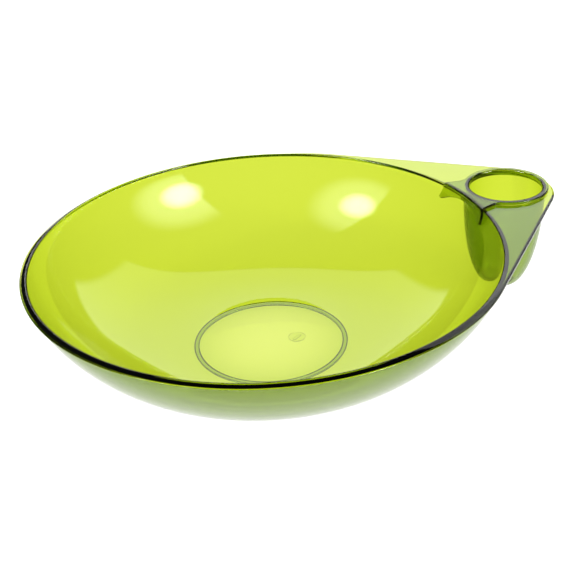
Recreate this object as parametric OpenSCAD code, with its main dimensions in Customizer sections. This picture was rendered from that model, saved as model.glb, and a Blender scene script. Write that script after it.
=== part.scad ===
// Chip and dip server: a wide, shallow serving bowl whose rim runs out into a teardrop wing,
// and a deep dip cup that drops through the wing's hole and hooks over the bowl's rim.
// Millimetres, +Z up. The origin is on the bowl's axis, on the table. +X points at the cup.

/* [Bowl] */
// Radius of the bowl to the outside of its rim
bowl_r = 165; // [130:1:200]
// Height of the rim above the table
bowl_h = 78.5; // [62:0.5:96]
// Thickness of the bowl's wall
wall = 3.2; // [2.4:0.1:4.2]
// Thickness of the base at its centre, where the floor dishes down a little
base_t = 2.2; // [1.8:0.1:2.4]
// Slope of the wall where it leaves the foot, in degrees
base_slope = 1.5; // [0:0.5:8]

/* [Rim] */
// How far the rounded rim stands out past the wall
rim_over = 2; // [1:0.1:3]
// Thickness of the rounded rim
rim_t = 2.8; // [2:0.1:4]

/* [Foot] */
// Outside radius of the foot ring
foot_r = 54.3; // [40:0.1:66]
// Width of the foot ring
foot_w = 2.8; // [2:0.1:5]
// Height of the foot ring
foot_h = 2; // [1:0.1:4]
// Radius of the moulding pad under the base
pad_r = 6; // [3:0.5:8]
// How far the moulding pad stands out from the base
pad_h = 0.4; // [0.2:0.1:0.8]
// Distance of the moulding pad from the bowl's axis
pad_off = 19; // [0:1:28]

/* [Wing] */
// Thickness of the wing
wing_t = 2.8; // [2.4:0.1:4]
// Radius of the wing's rounded tip
tip_r = 43.2; // [36:0.1:60]
// Width of plastic between the cup hole and the tip of the wing
tip_margin = 3.8; // [3:0.1:12]
// Width of plastic between the bowl's wall and the cup hole
web = 0.6; // [0.4:0.1:4]
// How far the wing's straight edges lie inside the rim's outermost line
wing_inset = 0.5; // [0.3:0.1:1.5]

/* [Dip cup] */
// Outside radius of the cup just under its ring
cup_r = 29; // [22:0.1:34]
// Thickness of the cup's wall
cup_wall = 2.6; // [1.5:0.1:3]
// Radius of the flat under the cup
cup_flat = 10.5; // [6:0.5:14]
// Height of the cup's base above the table
cup_lift = 1; // [0.5:0.1:6]
// How far the cup's ring stands out past its wall
ring_over = 2; // [1.4:0.1:4]
// Height of the cup's ring above the wing
ring_t = 2.4; // [2.2:0.1:4]

/* [Hook] */
// Width of the hook where it crosses the rim
hook_w = 50; // [30:1:54]
// Width of the hook where it meets the cup's ring
neck_w = 45; // [28:1:48]
// Thickness of the hook
hook_t = 1.8; // [1.4:0.1:2]
// Width across the tips of the hook's two prongs, inside the bowl
prong_w = 59; // [40:1:64]
// How far the prongs hang down inside the bowl
prong_drop = 15; // [8:0.1:16]
// How far the middle of the hook hangs down, between its prongs
hook_drop = 3.5; // [2.5:0.1:6]

/* [Clearances] */
// Gap all round between the cup and its hole
hole_gap = 0.5; // [0.3:0.1:1]
// Gap between the hook and the rim that it passes over
hook_gap = 0.3; // [0.2:0.1:0.6]

/* [Hidden] */

$fn = 180;
steps = 28;                    // straight pieces in each wall curve
edge_r = 0.9;                  // rounding of the ring's edges and of the rim's inner edge

wall_r = bowl_r - rim_over;    // outside of the wall under the rim
wall_in = wall_r - wall;       // inside of the wall at the rim
base_arm = 0.72 * (wall_r - foot_r);
rim_arm = 0.12 * bowl_h;
rim_slope = 86;                // slope of the wall under the rim, in degrees

hole_r = cup_r + hole_gap;
cup_x = wall_r + web + hole_r; // distance from the bowl's axis to the cup's axis
tip_x = cup_x + hole_r + tip_margin - tip_r;
edge_turn = acos((bowl_r - wing_inset - tip_r) / tip_x);
pad_turn = -12;                // direction of the moulding pad from +X, in degrees
bar_turn = 28;                 // direction of the bar on it

ring_r = cup_r + ring_over;
cup_base_arm = 0.1 * cup_r;
cup_side_arm = 0.8 * (bowl_h - cup_lift);

arch_h = prong_drop - hook_drop;
arch_r = (pow(prong_w / 2, 2) + pow(arch_h, 2)) / (2 * arch_h);

// A point on a cubic curve, its direction, and its sideways offset to the left
function curve(c, t) = pow(1 - t, 3) * c[0] + 3 * pow(1 - t, 2) * t * c[1]
    + 3 * (1 - t) * t * t * c[2] + t * t * t * c[3];
function slope(c, t) = pow(1 - t, 2) * (c[1] - c[0]) + 2 * (1 - t) * t * (c[2] - c[1])
    + t * t * (c[3] - c[2]);
function left(v) = [-v[1], v[0]] / norm(v);
function beside(c, d) = [for (i = [0:steps]) curve(c, i / steps) + d * left(slope(c, i / steps))];
function back(list) = [for (i = [len(list) - 1:-1:0]) list[i]];
function polar(r, a) = [r * cos(a), r * sin(a)];
function bend(centre, r, from, to, n) = [for (i = [0:n]) centre + polar(r, from + (to - from) * i / n)];

// Outside of the bowl's wall, from the foot to the rim
bowl_line = [
    [foot_r, foot_h],
    [foot_r, foot_h] + polar(base_arm, base_slope),
    [wall_r, bowl_h - rim_t] - polar(rim_arm, rim_slope),
    [wall_r, bowl_h - rim_t]
];

// Inside of the base, from the bowl's axis to the wall
floor_line = [
    [0, foot_h + base_t],
    [0.75 * foot_r, foot_h + base_t],
    [0.85 * foot_r, foot_h + wall],
    [foot_r - 1, foot_h + wall]
];

// Outside of the cup's wall, from its flat base to its ring
cup_line = [
    [cup_flat, cup_lift],
    [cup_flat + cup_base_arm, cup_lift],
    [cup_r, bowl_h - cup_side_arm],
    [cup_r, bowl_h]
];

// Half section of the bowl: base, foot ring, wall and rounded rim
module bowl_section() {
    bead = rim_t / 2;
    polygon(concat(
        [[0, foot_h], [foot_r - foot_w, foot_h], [foot_r - foot_w, 0], [foot_r, 0]],
        beside(bowl_line, 0),
        bend([bowl_r - bead, bowl_h - bead], bead, -90, 90, 12),
        bend([wall_in + edge_r, bowl_h - edge_r], edge_r, 90, 180, 4),
        back(beside(bowl_line, wall)),
        back(beside(floor_line, 0))
    ));
}

// Outline of the wing: tangent to the rim and round at its tip
module wing_outline() {
    near = bowl_r - wing_inset;
    polygon([
        [0, 0],
        polar(near, -edge_turn),
        [tip_x, 0] + polar(tip_r, -edge_turn),
        [tip_x, 0] + polar(tip_r, edge_turn),
        polar(near, edge_turn)
    ]);
    translate([tip_x, 0])
        circle(r = tip_r);
}

module wing() {
    translate([0, 0, bowl_h - wing_t])
        linear_extrude(wing_t)
            difference() {
                wing_outline();
                circle(r = wall_r - wall / 2);
            }
}

// Round pad under the base, with a low bar across it
module moulding_pad() {
    translate([pad_off * cos(pad_turn), pad_off * sin(pad_turn), 0]) {
        translate([0, 0, foot_h - pad_h])
            cylinder(r = pad_r, h = pad_h + wall / 2);
        translate([0, 0, foot_h - 2 * pad_h])
            rotate(bar_turn)
                translate([-0.7 * pad_r, -0.2 * pad_r, 0])
                    cube([1.4 * pad_r, 0.4 * pad_r, 2 * pad_h]);
    }
}

module serving_bowl() {
    color([0.74, 0.86, 0.18, 0.6])
        difference() {
            union() {
                rotate_extrude()
                    bowl_section();
                wing();
                moulding_pad();
            }
            translate([cup_x, 0, bowl_h - 2 * wing_t])
                cylinder(r = hole_r, h = 3 * wing_t);
        }
}

// Half section of the cup with its ring, which rests on the wing
module cup_section() {
    top = bowl_h + ring_t;
    mouth = cup_r - cup_wall;
    polygon(concat(
        [[0, cup_lift]],
        beside(cup_line, 0),
        [[ring_r, bowl_h]],
        bend([ring_r - edge_r, top - edge_r], edge_r, 0, 90, 4),
        bend([mouth + edge_r, top - edge_r], edge_r, 90, 180, 4),
        back(beside(cup_line, cup_wall)),
        [[0, cup_lift + cup_wall]]
    ));
}

// Section of the hook: a plate over the rim and a flap that follows the wall down inside the bowl
module hook_section() {
    lip = wall_in - hook_gap;
    low = bowl_h + hook_gap;
    intersection() {
        polygon(concat(
            back(beside(bowl_line, wall + hook_gap)),
            beside(bowl_line, wall + hook_gap + hook_t),
            bend([lip, low], hook_t, 180, 90, 6),
            [[cup_x, low + hook_t], [cup_x, low], [lip, low]]
        ));
        translate([0, bowl_h - prong_drop])
            square([cup_x, 2 * prong_drop]);
    }
}

// The hook's plate from above: narrow at the ring and wider over the rim
module plate_outline() {
    rim = wall_in - hook_gap;
    neck = cup_x - sqrt(ring_r * ring_r - neck_w * neck_w / 4);
    polygon([
        [0, -hook_w / 2], [rim, -hook_w / 2], [neck, -neck_w / 2], [cup_x, -neck_w / 2],
        [cup_x, neck_w / 2], [neck, neck_w / 2], [rim, hook_w / 2], [0, hook_w / 2]
    ]);
}

// The hook's flap from inside the bowl: it widens downwards, and an arch leaves a prong at each end
module flap_outline() {
    difference() {
        polygon([
            [-prong_w / 2, bowl_h - prong_drop], [-hook_w / 2, bowl_h], [-hook_w / 2, bowl_h + hook_t],
            [hook_w / 2, bowl_h + hook_t], [hook_w / 2, bowl_h], [prong_w / 2, bowl_h - prong_drop]
        ]);
        translate([0, bowl_h - hook_drop - arch_r])
            circle(r = arch_r);
    }
}

module hook() {
    difference() {
        intersection() {
            rotate_extrude()
                hook_section();
            union() {
                translate([0, 0, bowl_h])
                    linear_extrude(2 * hook_t)
                        plate_outline();
                rotate([90, 0, 90])
                    linear_extrude(wall_in - hook_gap)
                        flap_outline();
            }
        }
        translate([cup_x, 0, 0])
            cylinder(r = cup_r - cup_wall / 2, h = 2 * bowl_h);
    }
}

module dip_cup() {
    color([0.62, 0.76, 0.12, 0.6])
        union() {
            translate([cup_x, 0, 0])
                rotate_extrude()
                    cup_section();
            hook();
        }
}

serving_bowl();
dip_cup();
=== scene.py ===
import math

import bmesh
import bpy
import numpy as np
from mathutils import Matrix, Vector
from mathutils.geometry import delaunay_2d_cdt


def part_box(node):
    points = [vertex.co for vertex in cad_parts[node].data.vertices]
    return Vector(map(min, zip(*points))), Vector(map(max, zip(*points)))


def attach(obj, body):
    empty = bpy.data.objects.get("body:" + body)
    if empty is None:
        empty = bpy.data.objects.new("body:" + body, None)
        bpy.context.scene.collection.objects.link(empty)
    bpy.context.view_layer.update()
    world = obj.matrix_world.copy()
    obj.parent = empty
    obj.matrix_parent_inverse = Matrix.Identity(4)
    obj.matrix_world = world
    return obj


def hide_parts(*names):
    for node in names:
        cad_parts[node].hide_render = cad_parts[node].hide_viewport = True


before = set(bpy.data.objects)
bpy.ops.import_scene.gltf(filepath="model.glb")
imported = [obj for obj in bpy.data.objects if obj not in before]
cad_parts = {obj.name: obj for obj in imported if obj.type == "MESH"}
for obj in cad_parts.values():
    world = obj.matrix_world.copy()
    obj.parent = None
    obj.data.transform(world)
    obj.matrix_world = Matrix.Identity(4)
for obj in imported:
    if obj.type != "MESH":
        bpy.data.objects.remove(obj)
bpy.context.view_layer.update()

# ---------------------------------------------------------------- sizes, in metres
bowl_low, bowl_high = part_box("serving_bowl")
cup_low, cup_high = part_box("dip_cup")

BOWL_R = -bowl_low.x            # outside of the rim
RIM_Z = bowl_high.z             # top of the rim and of the wing
REACH = bowl_high.x             # tip of the wing
RING_R = cup_high.y             # outside of the cup's ring
CUP_X = cup_high.x - RING_R     # the cup's axis
RING_Z = cup_high.z             # top of the cup's ring
CUP_BASE = cup_low.z            # underside of the cup

# as in part.scad
WALL, BASE_T = 0.0032, 0.0022
RIM_OVER, RIM_T = 0.0020, 0.0028
FOOT_R, FOOT_W, FOOT_H = 0.0543, 0.0028, 0.0020
TIP_R = 0.0432
CUP_R, CUP_WALL, CUP_FLAT = 0.0290, 0.0026, 0.0105
HOLE_GAP = 0.0005
HOOK_W, HOOK_GAP = 0.0500, 0.0003
PRONG_W, PRONG_DROP, HOOK_DROP = 0.0590, 0.0150, 0.0035
PAD_R, PAD_H, PAD_OFF = 0.0060, 0.0004, 0.0190
PAD_TURN, BAR_TURN = math.radians(-12), math.radians(28)

WALL_R = BOWL_R - RIM_OVER      # outside of the wall under the rim
WALL_IN = WALL_R - WALL         # inside of the wall at the rim
HOLE_R = CUP_R + HOLE_GAP
TIP_X = REACH - TIP_R
SEAT_GAP = 0.0003               # air under the ring, so that the two clear pieces share no surface
POINT_GAP = 0.0002              # room left between neighbouring points where two runs of them meet


# ---------------------------------------------------------------- curves
def cubic(c, t):
    """Points on a cubic curve with the four control points c, at the values t."""
    c, t = np.asarray(c, float), np.asarray(t, float)[:, None]
    return (1 - t) ** 3 * c[0] + 3 * (1 - t) ** 2 * t * c[1] + 3 * (1 - t) * t * t * c[2] + t ** 3 * c[3]


def left_of(c, t):
    """Unit vectors to the left of the cubic's direction."""
    c, t = np.asarray(c, float), np.asarray(t, float)[:, None]
    d = (1 - t) ** 2 * (c[1] - c[0]) + 2 * (1 - t) * t * (c[2] - c[1]) + t * t * (c[3] - c[2])
    return np.c_[-d[:, 1], d[:, 0]] / np.linalg.norm(d, axis=1)[:, None]


def beside(c, t, d):
    """Points at the distance d to the left of the cubic."""
    return cubic(c, t) + d * left_of(c, t)


def bend(centre, r, start, end, n):
    """n + 1 points round an arc, angles in degrees."""
    a = np.radians(np.linspace(start, end, n + 1))
    return np.asarray(centre, float) + r * np.c_[np.cos(a), np.sin(a)]


def sweep(centre, r, start, end, n):
    """n points round a centre at radius r, the short way from the point start to the point end."""
    first, last = start - centre, end - centre
    a = math.atan2(first[1], first[0])
    turn = (math.atan2(last[1], last[0]) - a + math.pi) % (2 * math.pi) - math.pi
    shares = np.linspace(0, 1, n)
    return [centre + r * np.array([math.cos(a + turn * k), math.sin(a + turn * k)]) for k in shares]


def rounded(a, b, c, r, n):
    """The corner at b between a and c, rounded with radius r in n points."""
    a, b, c = (np.asarray(p, float) for p in (a, b, c))
    u, v = (a - b) / np.linalg.norm(a - b), (c - b) / np.linalg.norm(c - b)
    half = math.acos(float(np.clip(u @ v, -1, 1))) / 2
    middle = (u + v) / np.linalg.norm(u + v)
    centre = b + middle * r / math.sin(half)
    return sweep(centre, r, b + u * r / math.tan(half), b + v * r / math.tan(half), n)


def ease(a, b, c, n=5):
    """A small rounding from a to c with its corner at b, without a and with c."""
    t = np.linspace(0, 1, n + 1)[1:, None]
    a, b, c = (np.asarray(p, float) for p in (a, b, c))
    return (1 - t) ** 2 * a + 2 * (1 - t) * t * b + t * t * c


def inside(outline, points):
    """Which points lie inside a closed outline, by counting crossings."""
    x, y = points[:, 0][:, None], points[:, 1][:, None]
    a, b = outline, np.roll(outline, -1, axis=0)
    crosses = (a[:, 1] > y) != (b[:, 1] > y)
    with np.errstate(divide="ignore", invalid="ignore"):
        at = a[:, 0] + (y - a[:, 1]) * (b[:, 0] - a[:, 0]) / (b[:, 1] - a[:, 1])
    return (crosses & (x < at)).sum(axis=1) % 2 == 1


def enclosed(triangles, places, outline):
    """Which triangles lie within the outline. The triangles fill a convex region round it, and the search
    walks in from the region's outer side and stops at the outline. places gives each corner's place."""
    fence = {frozenset((a, outline[i - 1])) for i, a in enumerate(outline)}
    sides = {}
    for k, triangle in enumerate(triangles):
        for i in range(3):
            sides.setdefault(frozenset((places[triangle[i]], places[triangle[i - 1]])), []).append(k)
    keep = np.ones(len(triangles), bool)
    queue = [touching[0] for side, touching in sides.items() if len(touching) == 1 and side not in fence]
    while queue:
        k = queue.pop()
        if not keep[k]:
            continue
        keep[k] = False
        for i in range(3):
            side = frozenset((places[triangles[k][i]], places[triangles[k][i - 1]]))
            if side not in fence:
                queue += sides[side]
    return keep


# ---------------------------------------------------------------- mesh building
UP, DOWN = (0.0, 0.0, 1.0), (0.0, 0.0, -1.0)
WHOLE_HULL = 0                  # the triangulation's kind of result: triangles out to the convex hull
SAME_PLACE = 1e-9               # places closer than this are one


class Skin:
    """Collects loops of vertices and the faces between them."""

    def __init__(self):
        self.points, self.faces, self.normals = [], [], {}

    def add(self, points):
        """Adds vertices and gives their indices."""
        first = len(self.points)
        self.points.extend(map(tuple, points))
        return list(range(first, len(self.points)))

    def stack(self, loops):
        """Quads between each loop and the next one, which has as many vertices."""
        for a, b in zip(loops, loops[1:]):
            for i in range(len(a)):
                j = (i + 1) % len(a)
                self.faces.append((a[i], a[j], b[j], b[i]))

    def fan(self, loop, centre):
        """Triangles from a loop to a new vertex at its centre."""
        c = self.add([centre])[0]
        for i in range(len(loop)):
            self.faces.append((loop[i], loop[(i + 1) % len(loop)], c))

    def sheet(self, flat, ids, outline, holes, facing):
        """Fills an outline that has holes in it with triangles. flat gives each vertex's place in the sheet,
        ids its index in the mesh, and facing its normal, or one normal for them all. outline and holes are
        closed runs of indices into flat."""
        self.normals.update(zip(ids, np.broadcast_to(facing, (len(ids), 3))))
        edges = [(run[i], run[(i + 1) % len(run)]) for run in [outline, *holes] for i in range(len(run))]
        corners = [Vector(p) for p in flat]
        result = delaunay_2d_cdt(corners, edges, [], WHOLE_HULL, SAME_PLACE, True)
        triangles = np.array(result[2])
        places = np.array([came[0] if came else -1 for came in result[3]])
        middles = np.array([np.mean([flat[places[v]] for v in t], axis=0) for t in triangles])
        keep = enclosed(triangles, places, outline)
        for hole in holes:
            keep &= ~inside(np.array([flat[i] for i in hole]), middles)
        for t in triangles[keep]:
            self.faces.append(tuple(ids[places[v]] for v in t))

    def plane(self, outline, holes, facing):
        """Fills a level outline that has holes in it, all given as loops of vertices."""
        runs, ids = [], []
        for loop in [outline, *holes]:
            runs.append(list(range(len(ids), len(ids) + len(loop))))
            ids += loop
        self.sheet([self.points[i][:2] for i in ids], ids, runs[0], runs[1:], facing)

    def build(self, name):
        """The finished object, shaded smooth, with the normals that its sheets were given."""
        mesh = bpy.data.meshes.new(name)
        mesh.from_pydata(self.points, [], self.faces)
        bm = bmesh.new()
        bm.from_mesh(mesh)
        bmesh.ops.recalc_face_normals(bm, faces=bm.faces)
        if bm.calc_volume(signed=True) < 0:
            bmesh.ops.reverse_faces(bm, faces=bm.faces)
        bm.to_mesh(mesh)
        bm.free()
        mesh.polygons.foreach_set("use_smooth", [True] * len(mesh.polygons))
        normals = [tuple(self.normals.get(v.index, v.normal)) for v in mesh.vertices]
        mesh.normals_split_custom_set_from_vertices(normals)
        piece = bpy.data.objects.new(name, mesh)
        bpy.context.scene.collection.objects.link(piece)
        return piece


def turned(section, angles, x=0.0):
    """The point (r, z) of a half section at each angle about the vertical line at x."""
    r, z = section
    return np.c_[x + r * np.cos(angles), r * np.sin(angles), np.full(len(angles), z)]


# ---------------------------------------------------------------- the serving bowl
BASE_ARM, RIM_ARM = 0.72 * (WALL_R - FOOT_R), 0.12 * RIM_Z
BASE_SLOPE, RIM_SLOPE = math.radians(1.5), math.radians(86)

# outside of the wall, from the foot to the rim
BOWL_LINE = np.array([
    [FOOT_R, FOOT_H],
    [FOOT_R + BASE_ARM * math.cos(BASE_SLOPE), FOOT_H + BASE_ARM * math.sin(BASE_SLOPE)],
    [WALL_R - RIM_ARM * math.cos(RIM_SLOPE), RIM_Z - RIM_T - RIM_ARM * math.sin(RIM_SLOPE)],
    [WALL_R, RIM_Z - RIM_T],
])

DISH, RISE = FOOT_H + BASE_T, FOOT_H + WALL     # heights of the floor at its middle and at the wall
FLOOR_LINE = np.array([[0, DISH], [0.75 * FOOT_R, DISH], [0.85 * FOOT_R, RISE], [FOOT_R - 0.001, RISE]])

RIM_FALL = 0.00155              # how far the rim's top falls towards the outside
WING_FALL = 0.00070             # the same on the wing
WING_CREST = 0.00150            # how far in from the wing's edge its fall starts
CURL = 0.1                      # share of the fall that comes late, as the top curls over
FALL_STEPS = (0, 0.03, 0.35, 0.7, 1)        # where the fall's loops of vertices lie, as shares of its run
RIM_FLAT = 0.0001               # level top left at the rim's inner edge
RIM_EDGE = 0.0014               # rounding of the rim's inner edge
SIDE_EDGE = 0.00045             # rounding of the rim's and wing's outer edges
RIM_UNDER = 0.00070             # rounding under the rim
UNDER_CORNER = 0.0002           # rounding of the corner between the rim's underside and the wall
FOOT_EDGE = 0.0005              # rounding of the foot ring's edges
HOLE_EDGE = 0.00025             # rounding of the cup hole's edges
PAD_SOFT = 0.00006              # rounding of the moulding pad and its bar
BAR_HALF = 0.5 * PAD_R          # from the bar's middle to the centre of its round end
BAR_R = 0.2 * PAD_R             # half the bar's width

# directions from the bowl's axis: where the wing leaves the rim, and where its straight side meets its tip
WING_TANGENT = math.acos((BOWL_R - TIP_R) / TIP_X)
TIP_START = math.atan2(TIP_R * math.sin(WING_TANGENT), TIP_X + TIP_R * math.cos(WING_TANGENT))
WING_BLEND = math.radians(14)   # how far past the wing its edge takes to turn into the rim's


def around_bowl():
    """Directions round the bowl, closer together along the wing and closest at its tip."""
    tip = np.radians(np.arange(-10, 10, 0.25))
    side = np.radians(np.arange(10, 50, 0.625))
    rest = np.radians(np.arange(50, 310, 1.25))
    angles = np.concatenate([tip, side, rest, -side[:0:-1]])
    return np.where(angles > math.pi, angles - 2 * math.pi, angles)


def wing_outline(angles):
    """The rim's and wing's outermost line at each direction from the bowl's axis, and its outward normals."""
    places, normals = [], []
    for a in angles:
        ray = np.array([math.cos(a), math.sin(a)])
        if abs(a) >= WING_TANGENT:
            places.append(BOWL_R * ray)
            normals.append(ray)
        elif abs(a) >= TIP_START:
            side = math.copysign(WING_TANGENT, a)
            places.append(BOWL_R / math.cos(a - side) * ray)
            normals.append(np.array([math.cos(side), math.sin(side)]))
        else:
            reach = TIP_X * ray[0] + math.sqrt(TIP_R ** 2 - (TIP_X * ray[1]) ** 2)
            places.append(reach * ray)
            normals.append((reach * ray - [TIP_X, 0]) / TIP_R)
    return np.array(places), np.array(normals)


def rim_edge(angles):
    """The outer edge's section at each direction, from the level top round to the underside: runs of insets
    from the outermost line and of drops below the top."""
    k = np.clip((np.abs(angles) - WING_TANGENT) / WING_BLEND, 0, 1)
    k = k * k * (3 - 2 * k)

    def blend(on_wing, on_rim):
        return (1 - k) * on_wing + k * on_rim

    under = blend(SIDE_EDGE, RIM_UNDER)
    fall = blend(WING_FALL, RIM_FALL)
    crest = blend(WING_CREST, RIM_OVER + WALL - RIM_EDGE - RIM_FLAT)
    tilt = np.arctan((1 + CURL) * fall / (crest - SIDE_EDGE))
    end = SIDE_EDGE * (1 - np.sin(tilt))
    section = []
    for s in FALL_STEPS:
        section.append((crest + (end - crest) * s, fall * ((1 - CURL) * s + CURL * s * s)))
    low = fall + SIDE_EDGE * np.cos(tilt)
    for s in np.linspace(0, 1, 6)[1:]:
        a = tilt + (math.pi / 2 - tilt) * s
        section.append((SIDE_EDGE - SIDE_EDGE * np.sin(a), low - SIDE_EDGE * np.cos(a)))
    section.append((0 * k, (low + RIM_T - under) / 2))
    for a in np.radians(np.linspace(0, 90, 8)):
        section.append((under - under * math.cos(a), RIM_T - under + under * math.sin(a)))
    return section


def bowl_mesh():
    skin = Skin()
    angles = around_bowl()
    under = RIM_Z - RIM_T

    def ring(section):
        return skin.add(turned(section, angles))

    # inside: floor, wall and the rim's rounded inner edge
    inner = list(cubic(FLOOR_LINE, np.linspace(0.02, 1, 24)))
    inner += list(beside(BOWL_LINE, np.linspace(0, 1, 61), WALL))
    inner += list(bend([WALL_IN + RIM_EDGE, RIM_Z - RIM_EDGE], RIM_EDGE, 180, 90, 6))
    inner_loops = [ring(p) for p in inner]
    skin.fan(inner_loops[0], (0, 0, DISH))
    skin.stack(inner_loops)

    # the outer edge: a narrow slope round the wing, and round the rim a top that falls away outwards
    places, normals = wing_outline(angles)
    edge_loops = []
    for inset, drop in rim_edge(angles):
        edge_loops.append(skin.add(np.c_[places - inset[:, None] * normals, RIM_Z - drop]))
    skin.stack(edge_loops)

    # the cup's hole
    round_hole = np.linspace(0, 2 * math.pi, 160, endpoint=False)
    hole = list(bend([HOLE_R + HOLE_EDGE, RIM_Z - HOLE_EDGE], HOLE_EDGE, 90, 180, 4))
    hole += list(bend([HOLE_R + HOLE_EDGE, under + HOLE_EDGE], HOLE_EDGE, 180, 270, 4))
    hole_loops = [skin.add(turned(p, round_hole, CUP_X)) for p in hole]
    skin.stack(hole_loops)

    # level top, with the bowl's mouth and the hole in it
    skin.plane(edge_loops[0], [inner_loops[-1], hole_loops[0]], UP)

    # outside: wall and foot ring, where t_top and t_foot leave room for the roundings at the wall's ends
    t_top, t_foot = 1 - UNDER_CORNER / (3 * RIM_ARM), 0.004
    foot_in = FOOT_R - FOOT_W
    outer = [[WALL_R + UNDER_CORNER, under]]
    wall = cubic(BOWL_LINE, np.linspace(t_top, t_foot, 60))
    outer += list(ease(outer[0], [WALL_R, under], wall[0]))
    outer += list(wall[1:])
    outer += list(ease(outer[-1], [FOOT_R, FOOT_H], [FOOT_R, FOOT_H - FOOT_EDGE]))
    outer += list(bend([FOOT_R - FOOT_EDGE, FOOT_EDGE], FOOT_EDGE, 0, -90, 5))
    outer += list(bend([foot_in + FOOT_EDGE, FOOT_EDGE], FOOT_EDGE, -90, -180, 5))
    outer += list(ease(outer[-1], [foot_in, FOOT_H], [foot_in - FOOT_EDGE, FOOT_H]))
    outer_loops = [ring(p) for p in outer]

    # level underside of the wing and rim, then the outside and the underside of the base
    skin.plane(edge_loops[-1], [outer_loops[0], hole_loops[-1]], DOWN)
    skin.stack(outer_loops)
    underside(skin, outer_loops[-1])
    return skin.build("serving_bowl_shell")


def underside(skin, edge_loop):
    """The flat under the base, with its round moulding pad and the low bar across the pad."""
    pad = Vector((PAD_OFF * math.cos(PAD_TURN), PAD_OFF * math.sin(PAD_TURN)))
    low = FOOT_H - PAD_H
    slight = 0.3 * PAD_SOFT
    turn = np.linspace(0, 2 * math.pi, 72, endpoint=False)

    def circle(r, z):
        return skin.add(np.c_[pad.x + r * np.cos(turn), pad.y + r * np.sin(turn), np.full(len(turn), z)])

    slope = [
        circle(PAD_R + PAD_SOFT, FOOT_H),
        circle(PAD_R + slight, FOOT_H - slight),
        circle(PAD_R, FOOT_H - PAD_SOFT),
        circle(PAD_R - slight, low + slight),
        circle(PAD_R - PAD_SOFT, low),
    ]
    skin.stack(slope)

    half = np.array([BAR_HALF, 0])
    centres = np.repeat([half, -half], 11, axis=0)
    ends = np.concatenate([bend(half, 1, -90, 90, 10), bend(-half, 1, 90, 270, 10)])
    c, s = math.cos(BAR_TURN), math.sin(BAR_TURN)

    def bar(r, z):
        along, across = (centres + r * (ends - centres)).T
        x, y = pad.x + c * along - s * across, pad.y + s * along + c * across
        return skin.add(np.c_[x, y, np.full(len(x), z)])

    ridge = [bar(BAR_R + PAD_SOFT, low), bar(BAR_R, low - PAD_SOFT), bar(BAR_R - PAD_SOFT, low - PAD_H)]
    skin.stack(ridge)

    skin.plane(edge_loop, [slope[0]], DOWN)
    skin.plane(slope[-1], [ridge[0]], DOWN)
    skin.plane(ridge[-1], [], DOWN)


# ---------------------------------------------------------------- the dip cup
# outside of the cup's wall, from its flat base to its ring
CUP_LINE = np.array([
    [CUP_FLAT, CUP_BASE],
    [CUP_FLAT + 0.1 * CUP_R, CUP_BASE],
    [CUP_R, RIM_Z - 0.8 * (RIM_Z - CUP_BASE)],
    [CUP_R, RIM_Z],
])

# The collar is the ring at the cup's mouth and the hook in one, a sheet of even thickness.
SHEET = (RING_Z - RIM_Z - SEAT_GAP) / 2     # half the collar's thickness
LIP = WALL_IN - HOOK_GAP        # where the hook starts to bend down into the bowl
FILLET = 0.0090                 # concave rounding between the ring and the hook
PRONG_TIP_R = 0.0016            # rounding of the prongs' tips, seen from inside the bowl
COLLAR_TOP, COLLAR_EDGE = 0.0009, 0.0004    # rounding of the collar's top and bottom edges
SIDE_STEP = 0.0007              # distance between points along the hook's sides
GRID_CLEAR = 0.0003             # how far the collar's inner points stay from its outline
MOUTH_EDGE = 0.0017             # rounding of the cup's mouth
CUP_CORNER = 0.0005             # rounding between the ring's underside and the cup's wall
CENTRE_R = 0.001                # innermost loop round the cup's axis


def hook_path():
    """The hook's middle surface in half section, from the lip round the bend and down along the bowl's wall:
    points, unit vectors from its underside to its top, and the distance travelled past the lip."""
    start = np.array([LIP, RIM_Z + SEAT_GAP])
    arc = bend(start, SHEET, 90, 180, 16)
    down = beside(BOWL_LINE, np.linspace(1, 0.5, 400), WALL + HOOK_GAP + SHEET)
    path = np.vstack([arc, down[down[:, 1] < start[1] - POINT_GAP]])
    travel = np.r_[0, np.cumsum(np.linalg.norm(np.diff(path, axis=0), axis=1))]
    ahead = np.gradient(path, travel, axis=0)
    ahead /= np.linalg.norm(ahead, axis=1)[:, None]
    return path, np.c_[ahead[:, 1], -ahead[:, 0]], travel


PATH, PATH_UP, TRAVEL = hook_path()


def travel_at(drop):
    """How far along the hook a point that far below the rim is."""
    return float(np.interp(drop - RIM_Z, -PATH[:, 1], TRAVEL))


def side_fillet(tip):
    """The fillet between the ring and the hook's side, which is straight from the lip to the prong's tip: its
    centre and its ends on the ring and on the side."""
    flare = np.array([tip[0] - LIP, (PRONG_W - HOOK_W) / 2])
    flare /= np.linalg.norm(flare)
    out = np.array([flare[1], -flare[0]])
    ring = np.array([CUP_X, 0])
    base = np.array([LIP, HOOK_W / 2]) + FILLET * out - ring
    b, c = base @ -flare, base @ base - (RING_R + FILLET) ** 2
    centre = ring + base - flare * (-b - math.sqrt(b * b - c))
    on_ring = ring + (centre - ring) * RING_R / (RING_R + FILLET)
    return centre, on_ring, centre - FILLET * out


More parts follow.
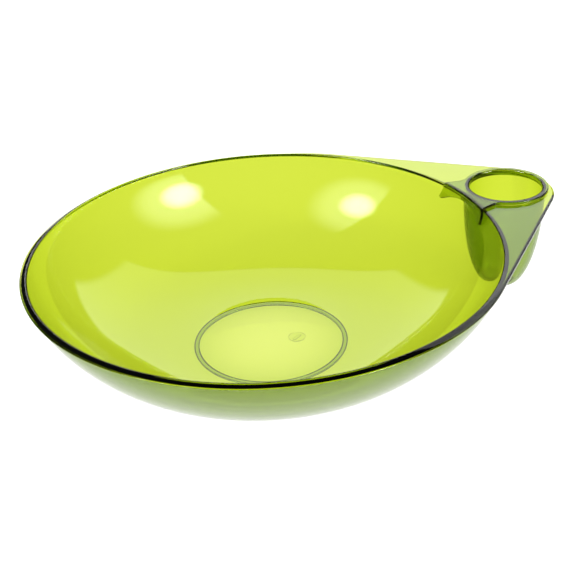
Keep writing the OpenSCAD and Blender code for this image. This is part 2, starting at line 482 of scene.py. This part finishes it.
def collar_outline():
    """The ring and the hook from above, unrolled: where the hook bends down into the bowl, x goes on along
    it. The sides flare from the ring to the prongs' tips, and an arch lies between the prongs."""
    tip = np.array([LIP - travel_at(PRONG_DROP), PRONG_W / 2])
    crown = LIP - travel_at(HOOK_DROP)
    arch_h = crown - tip[0]
    arch_r = (tip[1] ** 2 + arch_h ** 2) / (2 * arch_h)
    spread = math.asin(tip[1] / arch_r)
    arch = []
    for a in np.linspace(spread, 0, 24):
        arch.append(np.array([crown - arch_r + arch_r * math.cos(a), arch_r * math.sin(a)]))

    centre, on_ring, on_side = side_fillet(tip)
    ring = np.array([CUP_X, 0])
    ring_turn = math.atan2(on_ring[1], on_ring[0] - CUP_X)
    upper = [ring + RING_R * np.array([math.cos(a), math.sin(a)]) for a in np.linspace(0, ring_turn, 80)]
    upper += sweep(centre, FILLET, on_ring, on_side, 16)[1:]
    corner = rounded(on_side, tip, arch[1], PRONG_TIP_R, 9)
    side = corner[0] - on_side
    upper += [on_side + side * k for k in np.linspace(0, 1, int(np.linalg.norm(side) / SIDE_STEP))[1:]]
    upper += corner[1:]
    upper += [p for p in arch if p[1] < corner[-1][1] - POINT_GAP]
    lower = [(x, -y) for x, y in upper[-2:0:-1]]
    return np.array([*upper, *lower])


def fold(places, lift):
    """Puts unrolled places on the collar: level to the lip, then round the bend and down the wall. lift is
    the distance above the middle surface. Gives the points and the directions from underside to top."""
    points, ups = [], []
    for x, y in places:
        near_lip = math.sqrt(LIP ** 2 - y ** 2)
        past = near_lip - x
        if past <= 0:
            points.append((x, y, RIM_Z + SEAT_GAP + SHEET + lift))
            ups.append(UP)
            continue
        p = np.array([np.interp(past, TRAVEL, PATH[:, k]) for k in (0, 1)])
        n = np.array([np.interp(past, TRAVEL, PATH_UP[:, k]) for k in (0, 1)])
        n /= np.linalg.norm(n)
        r, z = p + lift * n
        side, away = y / LIP, near_lip / LIP
        points.append((r * away, r * side, z))
        ups.append((n[0] * away, n[0] * side, n[1]))
    return points, ups


def collar_face(skin, outline, loop, hole, side):
    """The collar's top, with side 1, or its underside, with side -1: a sheet from the outline to the hole,
    with extra vertices where it bends."""
    round_bend = np.linspace(0.0012, -0.0048, 25)
    down_wall = np.arange(-0.0056, -0.020, -0.0009)
    from_lip = np.concatenate([round_bend, down_wall])
    across = np.linspace(-PRONG_W / 2, PRONG_W / 2, 41)
    grid = np.array([[math.sqrt(LIP ** 2 - y ** 2) + x, y] for x in from_lip for y in across])
    clear = np.array([np.min(np.linalg.norm(outline - p, axis=1)) > GRID_CLEAR for p in grid])
    free = grid[inside(outline, grid) & clear]
    extra = skin.add(fold(free, side * SHEET)[0])
    flat = [tuple(p) for p in outline] + [skin.points[i][:2] for i in hole] + [tuple(p) for p in free]
    facing = side * np.array(fold(outline, 0)[1] + [UP] * len(hole) + fold(free, 0)[1])
    a, b = len(outline), len(outline) + len(hole)
    skin.sheet(flat, loop + hole + extra, list(range(a)), [list(range(a, b))], facing)


def cup_mesh():
    skin = Skin()

    # the collar's edge
    outline = collar_outline()
    d = np.roll(outline, -1, axis=0) - np.roll(outline, 1, axis=0)
    outward = np.c_[d[:, 1], -d[:, 0]] / np.linalg.norm(d, axis=1)[:, None]
    top, bottom = outline - COLLAR_TOP * outward, outline - COLLAR_EDGE * outward
    loops = []
    for a in np.radians(np.linspace(90, 0, 9)):
        lift = SHEET - COLLAR_TOP + COLLAR_TOP * math.sin(a)
        loops.append(skin.add(fold(top + COLLAR_TOP * math.cos(a) * outward, lift)[0]))
    for a in np.radians(np.linspace(0, -90, 6)):
        lift = COLLAR_EDGE - SHEET + COLLAR_EDGE * math.sin(a)
        loops.append(skin.add(fold(bottom + COLLAR_EDGE * math.cos(a) * outward, lift)[0]))
    skin.stack(loops)

    turn = np.linspace(0, 2 * math.pi, 180, endpoint=False)
    flat_steps = np.linspace(CUP_FLAT, CENTRE_R, 5)[1:]

    def ring(section):
        return skin.add(turned(section, turn, CUP_X))

    # inside: rounded mouth, wall and floor
    mouth, floor_z = CUP_R - CUP_WALL, CUP_BASE + CUP_WALL
    inner = list(bend([mouth + MOUTH_EDGE, RING_Z - MOUTH_EDGE], MOUTH_EDGE, 90, 180, 6))
    inner += list(beside(CUP_LINE, np.linspace(1, 0, 61), CUP_WALL))
    inner += [[r, floor_z] for r in flat_steps]
    inner_loops = [ring(p) for p in inner]
    skin.stack(inner_loops)
    skin.fan(inner_loops[-1], (CUP_X, 0, floor_z))

    # outside: from under the ring down to the flat base, where t_top leaves room for the corner's rounding
    under, t_top = RIM_Z + SEAT_GAP, 0.995
    outer = [[CUP_R + CUP_CORNER, under]]
    wall = cubic(CUP_LINE, np.linspace(t_top, 0, 60))
    outer += list(ease(outer[0], [CUP_R, under], wall[0]))
    outer += list(wall[1:])
    outer += [[r, CUP_BASE] for r in flat_steps]
    outer_loops = [ring(p) for p in outer]
    skin.stack(outer_loops)
    skin.fan(outer_loops[-1], (CUP_X, 0, CUP_BASE))

    collar_face(skin, top, loops[0], inner_loops[0], 1)
    collar_face(skin, bottom, loops[-1], outer_loops[0], -1)
    return skin.build("dip_cup_shell")


# ---------------------------------------------------------------- materials
# Of the light in each colour, exp(-density * (1 - tint) * distance) is left after a distance in the plastic.
TINT = (0.791, 0.845, 0.033)
BOWL_DENSITY, CUP_DENSITY = 1000.0, 1300.0
FLOOR_GLOW = 1.26               # keeps the floor white where the studio's light doesn't reach


def clear_plastic(name, tint, density):
    """Glossy clear plastic: colour by absorption inside, and fine flow marks with a little handling wear on
    the surface."""
    material = bpy.data.materials.new(name)
    material.use_nodes = True
    nodes, links = material.node_tree.nodes, material.node_tree.links
    surface = nodes["Principled BSDF"]
    surface.inputs["Base Color"].default_value = (1, 1, 1, 1)
    surface.inputs["Transmission Weight"].default_value = 1
    surface.inputs["IOR"].default_value = 1.52
    place = nodes.new("ShaderNodeTexCoord")
    flow = nodes.new("ShaderNodeTexNoise")
    flow.inputs["Scale"].default_value = 60
    flow.inputs["Detail"].default_value = 2
    wear = nodes.new("ShaderNodeMapRange")
    wear.inputs["To Min"].default_value = 0.0
    wear.inputs["To Max"].default_value = 0.035
    bump = nodes.new("ShaderNodeBump")
    bump.inputs["Strength"].default_value = 0.02
    bump.inputs["Distance"].default_value = 0.0005
    absorb = nodes.new("ShaderNodeVolumeAbsorption")
    absorb.inputs["Color"].default_value = (*tint, 1)
    absorb.inputs["Density"].default_value = density
    links.new(place.outputs["Object"], flow.inputs["Vector"])
    links.new(flow.outputs["Fac"], wear.inputs["Value"])
    links.new(wear.outputs["Result"], surface.inputs["Roughness"])
    links.new(flow.outputs["Fac"], bump.inputs["Height"])
    links.new(bump.outputs["Normal"], surface.inputs["Normal"])
    links.new(absorb.outputs["Volume"], nodes["Material Output"].inputs["Volume"])
    return material


def pale_floor():
    """Matt and pale, with a glow that takes away the shadows."""
    material = bpy.data.materials.new("pale_floor")
    material.use_nodes = True
    surface = material.node_tree.nodes["Principled BSDF"]
    surface.inputs["Base Color"].default_value = (0.2, 0.2, 0.2, 1)
    surface.inputs["Roughness"].default_value = 0.8
    surface.inputs["Emission Color"].default_value = (1, 1, 1, 1)
    surface.inputs["Emission Strength"].default_value = FLOOR_GLOW
    return material


# ---------------------------------------------------------------- build
bowl = bowl_mesh()
bowl.data.materials.append(clear_plastic("bowl_lime_plastic", TINT, BOWL_DENSITY))
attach(bowl, "bowl")
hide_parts("serving_bowl")

cup = cup_mesh()
cup.data.materials.append(clear_plastic("cup_lime_plastic", TINT, CUP_DENSITY))
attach(cup, "cup")
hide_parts("dip_cup")

FLOOR_R, FLOOR_GAP = 6, 0.0002  # the floor lies just below the foot ring, and touches nothing
bpy.ops.mesh.primitive_circle_add(vertices=96, radius=FLOOR_R, fill_type="NGON", location=(0, 0, -FLOOR_GAP))
floor = bpy.context.active_object
floor.name = "floor"
floor.data.materials.append(pale_floor())


# ---------------------------------------------------------------- camera, fitted to the photograph
VIEW_TURN = math.radians(21.35)     # from the camera's right to the direction of the cup
CAM_BACK, CAM_UP = 4.059 * BOWL_R, 2.606 * BOWL_R       # from the bowl's axis and from the table
PAN, TILT, ROLL = math.radians(1.21), math.radians(29.85), math.radians(-3.14)
LENS = 69.46                        # focal length in millimetres


def from_view(x, y, z):
    """A direction or place given along the camera's right, away from it and up, turned into the frame."""
    return Matrix.Rotation(-VIEW_TURN, 3, "Z") @ Vector((x, y, z))


def make_camera():
    away = Vector((math.sin(PAN) * math.cos(TILT), math.cos(PAN) * math.cos(TILT), -math.sin(TILT)))
    level_right = away.cross(Vector((0, 0, 1))).normalized()
    level_up = level_right.cross(away)
    right = math.cos(ROLL) * level_right + math.sin(ROLL) * level_up
    up = math.cos(ROLL) * level_up - math.sin(ROLL) * level_right
    data = bpy.data.cameras.new("camera")
    data.lens = LENS
    data.clip_start = 0.01
    camera = bpy.data.objects.new("camera", data)
    turn = Matrix([from_view(*right), from_view(*up), -from_view(*away)]).transposed()
    camera.matrix_world = Matrix.Translation(from_view(0, -CAM_BACK, CAM_UP)) @ turn.to_4x4()
    bpy.context.scene.collection.objects.link(camera)
    bpy.context.scene.camera = camera


make_camera()


# ---------------------------------------------------------------- light
# The backdrop's limits are on how far a direction goes along its middle, up, and to the camera's left and
# right.
BACK_MIDDLE = (0.18, 0.984, 0)  # given as from_view takes it
BACK_EDGE, BACK_FULL = 0.40, 0.85           # where it starts at its top, and where it reaches full strength
BACK_LOW, BACK_LEFT, BACK_RIGHT = 0.30, 0.49, 0.68
EDGE_SOFT, LOW_SOFT, SIDE_SOFT = 0.01, 0.02, 0.03       # half widths of its soft edges
BACK_LIGHT, BACK_TOP = 1.6, 1.1             # its full strength, and its strength at the top
FRONT_LIGHT = 0.035             # the dim light from all round

# The soft boxes: azimuth from the camera's right, elevation, radii of the core and of the face round it, all
# in degrees, and strength
BOXES = [(-42, 36, 12, 28, 18.0), (-157, 46, 10, 24, 15.0)]
FACE_SHARE = 0.18               # share of a box's strength that its face has, the rest being in its core
BOX_EDGE, BOX_SOFT = 0.14, 0.03             # how far past its middle a face is cut off, and how softly


def studio():
    """A dim room with a bright backdrop behind the object and two soft boxes on the camera's side."""
    world = bpy.data.worlds.new("studio")
    bpy.context.scene.world = world
    world.use_nodes = True
    nodes, links = world.node_tree.nodes, world.node_tree.links
    place = nodes.new("ShaderNodeTexCoord")

    def shade(kind, *values):
        """A sum or product of numbers and other nodes' results."""
        node = nodes.new("ShaderNodeMath")
        node.operation = kind
        for socket, value in zip(node.inputs, values):
            if isinstance(value, (int, float)):
                socket.default_value = value
            else:
                links.new(value, socket)
        return node.outputs[0]

    def along(direction):
        """How far a ray's direction goes along a direction."""
        node = nodes.new("ShaderNodeVectorMath")
        node.operation = "DOT_PRODUCT"
        links.new(place.outputs["Generated"], node.inputs[0])
        node.inputs[1].default_value = direction
        return node.outputs["Value"]

    def rise(value, low, high):
        """A smooth step from 0 at low to 1 at high."""
        node = nodes.new("ShaderNodeMapRange")
        node.interpolation_type = "SMOOTHSTEP"
        links.new(value, node.inputs["Value"])
        node.inputs["From Min"].default_value = low
        node.inputs["From Max"].default_value = high
        return node.outputs["Result"]

    level = along(from_view(*BACK_MIDDLE))
    back = rise(level, BACK_EDGE - EDGE_SOFT, BACK_EDGE + EDGE_SOFT)
    back = shade("MULTIPLY", back, rise(along(UP), BACK_LOW - LOW_SOFT, BACK_LOW + LOW_SOFT))
    for side, width in ((-1, BACK_RIGHT), (1, BACK_LEFT)):
        limit = rise(along(from_view(side, 0, 0)), -width - SIDE_SOFT, -width + SIDE_SOFT)
        back = shade("MULTIPLY", back, limit)
    light = shade("MULTIPLY_ADD", rise(level, BACK_EDGE, BACK_FULL), BACK_LIGHT - BACK_TOP, BACK_TOP)
    total = shade("MULTIPLY_ADD", back, light, FRONT_LIGHT)
    for azimuth, elevation, core_r, face_r, strength in BOXES:
        a, e = math.radians(azimuth), math.radians(elevation)
        to = along(from_view(math.cos(a) * math.cos(e), math.sin(a) * math.cos(e), math.sin(e)))
        face = rise(to, math.cos(math.radians(face_r)), math.cos(math.radians(core_r)))
        across = along(from_view(-math.sin(a), math.cos(a), 0))
        face = shade("MULTIPLY", face, rise(across, -BOX_EDGE, -BOX_EDGE + BOX_SOFT))
        hot = rise(to, math.cos(math.radians(core_r)), 1.0)
        total = shade("MULTIPLY_ADD", face, FACE_SHARE * strength, total)
        total = shade("MULTIPLY_ADD", hot, (1 - FACE_SHARE) * strength, total)
    links.new(total, nodes["Background"].inputs["Strength"])
    nodes["Background"].inputs["Color"].default_value = (1, 1, 1, 1)


studio()
bpy.context.scene.view_settings.view_transform = "Standard"
